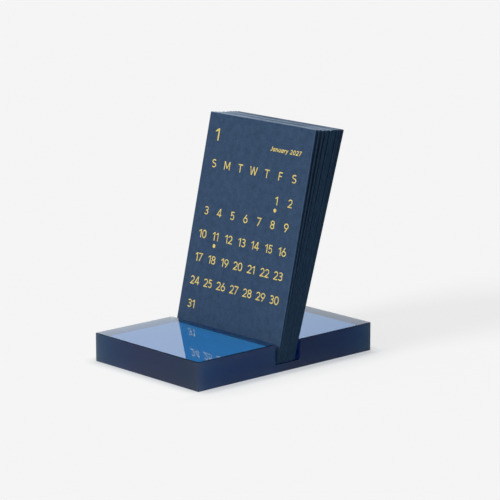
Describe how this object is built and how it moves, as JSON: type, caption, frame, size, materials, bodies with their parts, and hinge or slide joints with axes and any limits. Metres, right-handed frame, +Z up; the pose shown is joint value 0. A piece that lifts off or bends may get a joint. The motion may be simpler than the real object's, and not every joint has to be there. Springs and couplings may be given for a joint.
{
  "type": "desk calendar",
  "caption": "Desk calendar: a tinted clear acrylic block with a slot in which loose month cards stand and lean back.",
  "frame": {"origin": "centre of the block's underside, on the surface that it stands on", "axes": "+X along the slot, to the right of someone who reads the cards; +Y to the back; +Z up. The printed faces look towards -Y"},
  "size_m": [0.08, 0.12, 0.1214],
  "materials": {
    "tinted_acrylic": "solid clear acrylic with a blue tint, polished on every side",
    "card_board": "thick matt uncoated paper board, dyed navy blue all through",
    "gold_foil": "satin gold foil print on the front of each card"
  },
  "bodies": {
    "stand": {"stand_block": "tinted_acrylic"},
    "january": {"card_january": "card_board"},
    "february": {"card_february": "card_board"},
    "march": {"card_march": "card_board"},
    "april": {"card_april": "card_board"},
    "may": {"card_may": "card_board"},
    "june": {"card_june": "card_board"},
    "july": {"card_july": "card_board"},
    "august": {"card_august": "card_board"},
    "september": {"card_september": "card_board"},
    "october": {"card_october": "card_board"},
    "november": {"card_november": "card_board"},
    "december": {"card_december": "card_board"}
  },
  "joints": [
    {"name": "january_lift", "type": "slide", "parent": "stand", "child": "january", "axis": [0, 0.2215, 0.9751], "range_m": [0, 0.13]},
    {"name": "february_lift", "type": "slide", "parent": "stand", "child": "february", "axis": [0, 0.2319, 0.9727], "range_m": [0, 0.13]},
    {"name": "march_lift", "type": "slide", "parent": "stand", "child": "march", "axis": [0, 0.2464, 0.9692], "range_m": [0, 0.13]},
    {"name": "april_lift", "type": "slide", "parent": "stand", "child": "april", "axis": [0, 0.2561, 0.9666], "range_m": [0, 0.13]},
    {"name": "may_lift", "type": "slide", "parent": "stand", "child": "may", "axis": [0, 0.2566, 0.9665], "range_m": [0, 0.13]},
    {"name": "june_lift", "type": "slide", "parent": "stand", "child": "june", "axis": [0, 0.265, 0.9643], "range_m": [0, 0.13]},
    {"name": "july_lift", "type": "slide", "parent": "stand", "child": "july", "axis": [0, 0.2655, 0.9641], "range_m": [0, 0.13]},
    {"name": "august_lift", "type": "slide", "parent": "stand", "child": "august", "axis": [0, 0.266, 0.964], "range_m": [0, 0.13]},
    {"name": "september_lift", "type": "slide", "parent": "stand", "child": "september", "axis": [0, 0.2666, 0.9638], "range_m": [0, 0.13]},
    {"name": "october_lift", "type": "slide", "parent": "stand", "child": "october", "axis": [0, 0.2731, 0.962], "range_m": [0, 0.13]},
    {"name": "november_lift", "type": "slide", "parent": "stand", "child": "november", "axis": [0, 0.2781, 0.9605], "range_m": [0, 0.13]},
    {"name": "december_lift", "type": "slide", "parent": "stand", "child": "december", "axis": [0, 0.2857, 0.9583], "range_m": [0, 0.13]}
  ]
}
